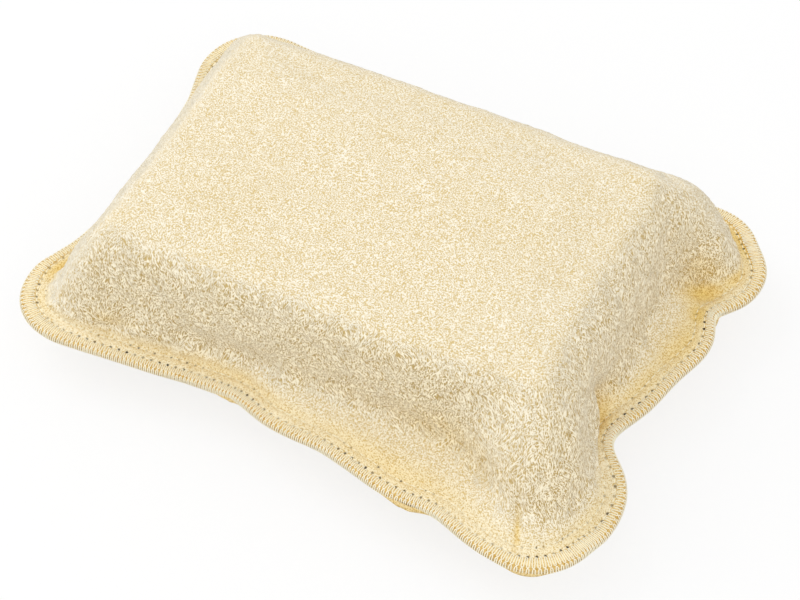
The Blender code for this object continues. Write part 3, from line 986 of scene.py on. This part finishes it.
def chamois_material(name, pale, deep, shaded):
    """Napped chamois: pale fibre tips over deeper-coloured roots, needle holes and rich folds."""
    made, tree, shader = new_material(name, roughness=0.95, sheen=0.5, sheen_roughness=0.35)
    shader.inputs["Sheen Tint"].default_value = (1.0, 0.98, 0.92, 1.0)
    vector = in_millimetres(tree)
    facing = add_node(tree, "NewGeometry").outputs["Normal"]
    place = axes(tree, add_node(tree, "UVMap", uv_map="stitch").outputs[0])
    seam = axes(tree, add_node(tree, "Attribute", attribute_name="seam").outputs["Vector"])
    inward = place["Y"]
    past_holes = maths(tree, "SUBTRACT", inward, seam["Z"])
    sewn = one_minus(tree, step_up(tree, inward, 0.0, 5.5))
    open_cloth = one_minus(tree, sewn)
    level = step_up(tree, axes(tree, facing)["Z"], 0.72, 0.97)
    steep = product(tree, open_cloth, one_minus(tree, level))
    # Painted shade on open cloth that faces away from the lit side: the roots take the shaded colour and a
    # darker tint is put on
    toward_lit_side = vector_maths(tree, "DOT_PRODUCT", {0: facing, 1: LIT_SIDE_WAY}, "Value")
    side_shade = product(tree, open_cloth, one_minus(tree, step_up(tree, toward_lit_side, -0.35, 0.60)))
    # Painted sheen: faces turned towards the left end are painted paler, towards the tips' colour
    toward_sheen_way = vector_maths(tree, "DOT_PRODUCT", {0: facing, 1: PAINTED_SHEEN_WAY}, "Value")
    painted_sheen = product(tree, step_up(tree, toward_sheen_way, 0.60, 0.90), PAINTED_SHEEN_SHARE)

    height, crossed = fibre_height(tree, vector, facing, steep)
    lifted = maths(tree, "ADD", height, product(tree, sewn, SEWN_LIFT))
    lowest, highest = [maths(tree, "ADD", base, product(tree, crossed, rise))
                       for base, rise in (ROOTS_UP_TO, TIPS_FROM)]
    tips = add_node(tree, "MapRange",
                    {"Value": lifted, "From Min": lowest, "From Max": highest}).outputs["Result"]
    # The painted sheen raises the tips' share towards a fixed level
    tips = blended(tree, painted_sheen, tips, PAINTED_SHEEN_LEVEL)
    # Roots in painted shade take the shaded colour
    roots = mix_colour(tree, side_shade, (*deep, 1.0), (*shaded, 1.0))
    colour = mix_colour(tree, tips, roots, (*pale, 1.0))

    cloudy = noise(tree, vector, scale=0.055, detail=3.0, Roughness=0.55)["Fac"]
    out = product(tree, inward, -1.0)
    cut_edge = product(tree, step_up(tree, out, 5.1, 5.7), CUT_EDGE_FADE)
    masks = {
        "side_shade": side_shade,
        "clouds": step_up(tree, cloudy, 0.3, 0.7),
        "sewn": sewn,
        # Painted shade and bounced light in folds, and one stain
        "fold_shade_and_stain": seam["X"],
        # Painted shade on the cloth that the looper threads cover, outside the outer row of holes
        "shade_under_threads": one_minus(tree, step_up(tree, past_holes, -0.7, 0.2)),
        # Painted shade where the rim rolls under
        "rim": product(tree, step_up(tree, out, 3.9, 4.7), one_minus(tree, cut_edge)),
    }
    for kind, strength, tint in TINTS:
        share = product(tree, masks[kind], strength)
        colour = mix_colour(tree, share, colour, (*tint, 1.0), "MULTIPLY")
    holes = needle_holes(tree, place["X"], past_holes, seam["Y"])
    # Painted shade in the needle holes
    colour = mix_colour(tree, holes, colour, (*HOLE_SHADE_COLOUR, 1.0))
    relief = maths(tree, "SUBTRACT", height, product(tree, holes, HOLE_RELIEF))
    link_looks(tree, shader, colour, relief, strength=1.0, depth=0.36)
    return made


def thread_material(name, pale, deep):
    """Soft spun thread: fine strands that wind round it, with a little fuzz."""
    made, tree, shader = new_material(name, roughness=0.8, sheen=0.2, sheen_roughness=0.4)
    place = axes(tree, add_node(tree, "UVMap", uv_map="twist").outputs[0])
    wind = maths(tree, "ADD", product(tree, place["X"], 1.6), product(tree, place["Y"], 2.0))
    strand = maths(tree, "ABSOLUTE", maths(tree, "SINE", product(tree, wind, math.pi)))
    fuzz = noise(tree, in_millimetres(tree), scale=3.5)["Fac"]
    height = maths(tree, "ADD", product(tree, strand, 0.6), product(tree, fuzz, 0.6))
    colour = mix_colour(tree, step_up(tree, height, 0.3, 0.8), (*deep, 1.0), (*pale, 1.0))
    link_looks(tree, shader, colour, height, strength=0.6, depth=0.12)
    return made


def foam_material(name, colour, pore_shade_colour):
    """Open-cell foam: round pores of uneven size, with painted shade inside."""
    made, tree, shader = new_material(name, roughness=0.9)
    inputs = {"Vector": in_millimetres(tree), "Scale": 0.9}
    pores = add_node(tree, "TexVoronoi", inputs).outputs["Distance"]
    open_share = step_up(tree, pores, 0.15, 0.5)
    colour = mix_colour(tree, open_share, (*pore_shade_colour, 1.0), (*colour, 1.0))
    link_looks(tree, shader, colour, open_share, strength=0.7, depth=0.3)
    return made


def dress(piece, finish, node):
    """Give a new piece its material and body, and hide the solid that it stands for."""
    piece.data.materials.append(finish)
    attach(piece, "root")
    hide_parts(node)
    return piece


def make_panels():
    upper = Skin(upper_rings(PLACES), UPPER_BANDS, 1)
    upper.raise_by(named_relief(upper) + fold_relief(upper, 1.0))
    upper.make_inside()
    upper.raise_by(stitch_relief(upper) + nap_relief(upper))
    lower = Skin(lower_rings(PLACES), LOWER_BANDS, -1)
    lower.raise_by(fold_relief(lower, 0.7) * window(lower.points[:, :, 2], 3.0, 1000.0, 3.0))
    lower.make_inside()
    lower.lining[:, :, 2] = np.maximum(lower.lining[:, :, 2], COVER_THICKNESS)
    lower.foam[:, :, 2] = np.maximum(lower.foam[:, :, 2], COVER_THICKNESS + GAP)
    lower.raise_by(stitch_relief(lower) + nap_relief(lower))
    lower.points[:, :, 2] = np.maximum(lower.points[:, :, 2], 0.0)
    cream = chamois_material("chamois_nap", pale=(1.0, 0.945, 0.805), deep=(0.72, 0.555, 0.26),
                             shaded=(0.51, 0.37, 0.15))
    cream_under = chamois_material("chamois_nap_under", pale=(0.98, 0.92, 0.78), deep=(0.70, 0.55, 0.27),
                                   shaded=(0.58, 0.41, 0.17))
    dress(skin_mesh("upper_panel", upper), cream, "upper_cover")
    dress(skin_mesh("lower_panel", lower), cream_under, "lower_cover")
    foam = foam_material("open_cell_foam", colour=(0.86, 0.78, 0.50), pore_shade_colour=(0.55, 0.44, 0.22))
    dress(foam_mesh("foam_filling", upper, lower), foam, "foam_core")
    return upper, lower


def make_threads(upper, lower):
    flange = Flange()
    spun = thread_material("spun_thread", pale=(1.0, 0.955, 0.76), deep=(0.99, 0.87, 0.60))
    corner = RIM_START + LOOPERS_MEET
    inner_end = LOOPER_SHORT_OF_HOLES - OUTER_HOLES
    pieces = [
        looper("upper_looper_thread", flange, inner_end, corner, phase=0.0, samples=14, seed=31),
        looper("lower_looper_thread", flange, corner + LOOPERS_APART, WRAP_LENGTH - inner_end,
               phase=0.5, samples=24, seed=41),
        needle_thread("right_needle_thread", upper, 0.0, seed=51),
        needle_thread("left_needle_thread", upper, ROWS_APART, seed=52),
        needle_thread("right_needle_thread_under", lower, 0.0, seed=53),
        needle_thread("left_needle_thread_under", lower, ROWS_APART, seed=54),
    ]
    for piece in pieces:
        dress(piece, spun, "overlock_stitching")


# Camera, found from the outline in the photograph
CAMERA_AZIMUTH = math.radians(28.427)
CAMERA_ELEVATION = math.radians(50.187)
CAMERA_DISTANCE = 613.337
CAMERA_AIM = (4.665, -4.112, 13.0)
CAMERA_LENS = 113.05
SENSOR_WIDTH = 36.0

# Light, and the floor in metres
WORLD_LIGHT = 0.87
SOFTBOX_SIZE = 0.7
SOFTBOX_DISTANCE = 1.0
KEY_DIRECTION = (-0.70, 0.08, 0.71)
KEY_POWER = 2.45
FILL_DIRECTION = (0.50, -0.58, 0.65)
FILL_POWER = 1.5
FLOOR_HALF = 3.0
FLOOR_GLOW = 0.78


def place_facing(name, data, back, location):
    """A camera or lamp at a place in metres, which looks away from this direction."""
    made = new_object(name, data)
    made.location = location
    made.rotation_mode = "QUATERNION"
    made.rotation_quaternion = (-back).to_track_quat("-Z", "Y")
    return made


def make_camera():
    data = bpy.data.cameras.new("camera")
    data.lens = CAMERA_LENS
    data.sensor_width = SENSOR_WIDTH
    data.sensor_fit = "HORIZONTAL"
    data.clip_start = 0.01
    data.clip_end = 20.0
    level = math.cos(CAMERA_ELEVATION)
    back = Vector((math.sin(CAMERA_AZIMUTH) * level, -math.cos(CAMERA_AZIMUTH) * level,
                   math.sin(CAMERA_ELEVATION)))
    location = (Vector(CAMERA_AIM) + back * CAMERA_DISTANCE) * MM
    bpy.context.scene.camera = place_facing("camera", data, back, location)


def white_to_camera(tree, strength, seen_strength):
    """A strength for light, and another for what the camera, a reflection or glass shows."""
    path = add_node(tree, "LightPath").outputs
    seen = maths(tree, "MAXIMUM", path["Is Camera Ray"],
                 maths(tree, "MAXIMUM", path["Is Glossy Ray"], path["Is Transmission Ray"]))
    return blended(tree, seen, strength, seen_strength)


def make_softbox(name, direction, power):
    """A large soft lamp in this direction from the sponge."""
    data = bpy.data.lights.new(name, "AREA")
    data.shape = "SQUARE"
    data.size = SOFTBOX_SIZE
    data.energy = power
    toward_lamp = Vector(direction).normalized()
    place_facing(name, data, toward_lamp, toward_lamp * SOFTBOX_DISTANCE)


def make_light():
    world = bpy.data.worlds.new("studio")
    world.use_nodes = True
    bpy.context.scene.world = world
    tree = world.node_tree
    background = tree.nodes["Background"]
    background.inputs["Color"].default_value = (1.0, 1.0, 1.0, 1.0)
    tree.links.new(white_to_camera(tree, WORLD_LIGHT, 1.0), background.inputs["Strength"])
    make_softbox("key_light", KEY_DIRECTION, KEY_POWER)
    make_softbox("fill_light", FILL_DIRECTION, FILL_POWER)


def make_floor():
    """A plain pale floor. Its own colour shows the sponge's shadow, and a little glow keeps it white."""
    mesh = bpy.data.meshes.new("floor")
    corners = [(x * FLOOR_HALF, y * FLOOR_HALF, 0) for x, y in ((-1, -1), (1, -1), (1, 1), (-1, 1))]
    mesh.from_pydata(corners, [], [(0, 1, 2, 3)])
    floor = new_object("floor", mesh)
    finish = bpy.data.materials.new("paper")
    finish.use_nodes = True
    tree = finish.node_tree
    tree.nodes.remove(tree.nodes["Principled BSDF"])
    paper = add_node(tree, "BsdfDiffuse", {"Color": (0.92, 0.92, 0.92, 1.0)}).outputs[0]
    glow = add_node(tree, "Emission", {"Color": (1.0, 1.0, 1.0, 1.0)}).outputs[0]
    share = white_to_camera(tree, 0.0, FLOOR_GLOW)
    shown = add_node(tree, "MixShader", {0: share, 1: paper, 2: glow}).outputs[0]
    tree.links.new(shown, tree.nodes["Material Output"].inputs["Surface"])
    mesh.materials.append(finish)


upper_skin, lower_skin = make_panels()
make_threads(upper_skin, lower_skin)
make_camera()
make_light()
make_floor()
bpy.context.scene.view_settings.view_transform = "Standard"
